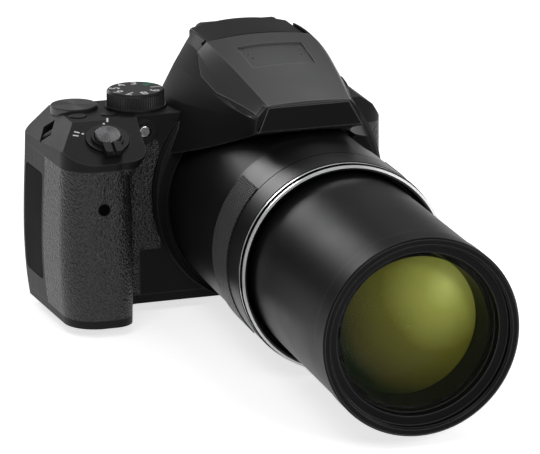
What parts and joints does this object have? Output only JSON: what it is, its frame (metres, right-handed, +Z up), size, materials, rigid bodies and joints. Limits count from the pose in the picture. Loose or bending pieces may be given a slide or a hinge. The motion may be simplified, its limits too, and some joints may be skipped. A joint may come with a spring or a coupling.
{
  "type": "bridge camera",
  "caption": "Bridge camera with a long fixed zoom lens that slides in and out, a folding monitor, pop-up flash, dials, buttons and hinged doors.",
  "frame": {"origin": "centre of the tripod socket's mouth on the base, below the lens axis", "axes": "+X to the right of someone facing the lens, +Y from the lens to the back of the camera, +Z up"},
  "size_m": [0.1403, 0.2224, 0.1056],
  "materials": {
    "shell_black": "satin textured dark grey plastic",
    "barrel_black": "satin black plastic",
    "rubber_black": "pebbled black rubber",
    "dial_metal": "dark anodised, turned face",
    "bright_metal": "polished rings",
    "steel": "plain steel",
    "coated_glass": "green and amber coated lens",
    "clear_glass": "clear optical glass",
    "screen_glass": "dark screen glass",
    "gloss_black": "gloss black plastic",
    "lamp_lens": "ribbed clear plastic",
    "inner_black": "dull black moulded plastic",
    "board_green": "green circuit board",
    "brass": "turned brass",
    "battery_grey": "dark grey battery case",
    "sensor": "image sensor window"
  },
  "bodies": {
    "camera_body": {"af_lamp": "lamp_lens", "base_cover": "shell_black", "battery": "battery_grey", "case_screws": "steel", "chassis": "inner_black", "connectors": "steel", "control_ring": "barrel_black", "eyepiece_cup": "rubber_black", "eyepiece_lens": "clear_glass", "finder_housing": "shell_black", "fixed_barrel": "barrel_black", "front_cover": "shell_black", "grip_rubber": "rubber_black", "guide_rods": "steel", "hinge_pins": "steel", "hump_cover": "shell_black", "image_sensor": "sensor", "ir_window": "gloss_black", "main_board": "board_green", "name_plate": "gloss_black", "rear_cover": "shell_black", "ring_grip_pads": "barrel_black", "side_rubber": "rubber_black", "strap_lugs": "steel", "thumb_rest": "rubber_black", "top_cover": "shell_black", "trim_rings": "bright_metal", "tripod_socket": "brass", "zoom_motor": "steel"},
    "zoom_group": {"zoom_barrel": "barrel_black", "filter_ring": "barrel_black", "front_lens": "coated_glass", "second_lens": "coated_glass"},
    "cam": {"cam_barrel": "inner_black"},
    "pinion": {"zoom_pinion": "brass"},
    "variator": {"variator_frame": "inner_black", "variator_lens": "clear_glass"},
    "focus": {"focus_frame": "inner_black", "focus_lens": "clear_glass"},
    "flash": {"flash_lid": "shell_black", "flash_window": "lamp_lens", "flash_head": "inner_black"},
    "monitor": {"monitor_frame": "barrel_black", "monitor_glass": "screen_glass"},
    "mode_dial_body": {"mode_dial": "dial_metal"},
    "command_dial_body": {"command_dial": "dial_metal"},
    "selector": {"selector_ring": "barrel_black"},
    "diopter": {"diopter_dial": "barrel_black"},
    "lever": {"zoom_lever": "barrel_black"},
    "side_lever": {"side_zoom_lever": "barrel_black"},
    "battery_flap": {"battery_door": "shell_black"},
    "port_flap": {"port_door": "rubber_black"},
    "power": {"power_button": "barrel_black"},
    "function": {"function_button": "barrel_black"},
    "shutter": {"shutter_button": "dial_metal"},
    "record": {"record_button": "barrel_black"},
    "menu": {"menu_button": "barrel_black"},
    "delete": {"delete_button": "barrel_black"},
    "ok": {"ok_button": "barrel_black"},
    "flash_switch": {"flash_button": "barrel_black"}
  },
  "joints": [
    {"name": "zoom_slide", "type": "slide", "parent": "camera_body", "child": "zoom_group", "axis": [0, 1, 0], "range_m": [0, 0.084]},
    {"name": "cam_turn", "type": "hinge", "parent": "camera_body", "child": "cam", "pos_m": [0, 0, 0.0372], "axis": [0, 1, 0], "range_deg": [0, 100.5]},
    {"name": "pinion_turn", "type": "hinge", "parent": "camera_body", "child": "pinion", "pos_m": [-0.03291, -0.011, 0.0182], "axis": [0, 1, 0], "range_deg": [-354, 0]},
    {"name": "variator_slide", "type": "slide", "parent": "camera_body", "child": "variator", "axis": [0, 1, 0], "range_m": [0, 0.0202]},
    {"name": "focus_slide", "type": "slide", "parent": "camera_body", "child": "focus", "axis": [0, 1, 0], "range_m": [-0.008, 0.001]},
    {"name": "flash_hinge", "type": "hinge", "parent": "camera_body", "child": "flash", "pos_m": [0, -0.0102, 0.0982], "axis": [-1, 0, 0], "range_deg": [0, 35]},
    {"name": "monitor_hinge", "type": "hinge", "parent": "camera_body", "child": "monitor", "pos_m": [0.0436, 0.0108, 0.034], "axis": [0, 0, -1], "range_deg": [0, 175]},
    {"name": "mode_dial_turn", "type": "hinge", "parent": "camera_body", "child": "mode_dial_body", "pos_m": [-0.0488, -0.003, 0.08], "axis": [0, 0, 1], "continuous": true},
    {"name": "command_dial_turn", "type": "hinge", "parent": "camera_body", "child": "command_dial_body", "pos_m": [-0.0724, 0.0022, 0.076], "axis": [0, 0, 1], "continuous": true},
    {"name": "selector_turn", "type": "hinge", "parent": "camera_body", "child": "selector", "pos_m": [-0.064, 0.0129, 0.027], "axis": [0, 1, 0], "continuous": true},
    {"name": "diopter_turn", "type": "hinge", "parent": "camera_body", "child": "diopter", "pos_m": [0.021, 0.0154, 0.091], "axis": [1, 0, 0], "range_deg": [-150, 150]},
    {"name": "zoom_lever_turn", "type": "hinge", "parent": "camera_body", "child": "lever", "pos_m": [-0.0679, -0.0315, 0.07129], "axis": [0, -0.4074, 0.9132], "range_deg": [-15, 15], "stiffness_Nm_per_rad": 0.02},
    {"name": "side_lever_turn", "type": "hinge", "parent": "camera_body", "child": "side_lever", "pos_m": [0, -0.05, 0.0372], "axis": [0, 1, 0], "range_deg": [-6, 6], "stiffness_Nm_per_rad": 0.3},
    {"name": "battery_door_hinge", "type": "hinge", "parent": "camera_body", "child": "battery_flap", "pos_m": [-0.0659, -0.018, 0.0015], "axis": [0, -1, 0], "range_deg": [0, 85]},
    {"name": "port_door_hinge", "type": "hinge", "parent": "camera_body", "child": "port_flap", "pos_m": [-0.09195, 0.0064, 0.0335], "axis": [0, 0, -1], "range_deg": [0, 110]},
    {"name": "power_press", "type": "slide", "parent": "camera_body", "child": "power", "axis": [0, 0, -1], "range_m": [0, 0.0005], "stiffness_N_per_m": 1500, "springref_m": -0.0004},
    {"name": "function_press", "type": "slide", "parent": "camera_body", "child": "function", "axis": [0, 0, -1], "range_m": [0, 0.0005], "stiffness_N_per_m": 1500, "springref_m": -0.0004},
    {"name": "shutter_press", "type": "slide", "parent": "camera_body", "child": "shutter", "axis": [0, 0.4074, -0.9132], "range_m": [0, 0.0005], "stiffness_N_per_m": 1500, "springref_m": -0.0004},
    {"name": "record_press", "type": "slide", "parent": "camera_body", "child": "record", "axis": [0, -1, 0], "range_m": [0, 0.0005], "stiffness_N_per_m": 1500, "springref_m": -0.0004},
    {"name": "menu_press", "type": "slide", "parent": "camera_body", "child": "menu", "axis": [0, -1, 0], "range_m": [0, 0.0005], "stiffness_N_per_m": 1500, "springref_m": -0.0004},
    {"name": "delete_press", "type": "slide", "parent": "camera_body", "child": "delete", "axis": [0, -1, 0], "range_m": [0, 0.0005], "stiffness_N_per_m": 1500, "springref_m": -0.0004},
    {"name": "ok_press", "type": "slide", "parent": "camera_body", "child": "ok", "axis": [0, -1, 0], "range_m": [0, 0.0005], "stiffness_N_per_m": 1500, "springref_m": -0.0004},
    {"name": "flash_press", "type": "slide", "parent": "camera_body", "child": "flash_switch", "axis": [-0.8571, 0, -0.5152], "range_m": [0, 0.0005], "stiffness_N_per_m": 1500, "springref_m": -0.0004}
  ],
  "couplings": [
    {"joint": "cam_turn", "follows": "zoom_slide", "rad_per_m": 20.778},
    {"joint": "pinion_turn", "follows": "zoom_slide", "rad_per_m": -73.217},
    {"joint": "variator_slide", "follows": "zoom_slide", "ratio": 0.238}
  ]
}
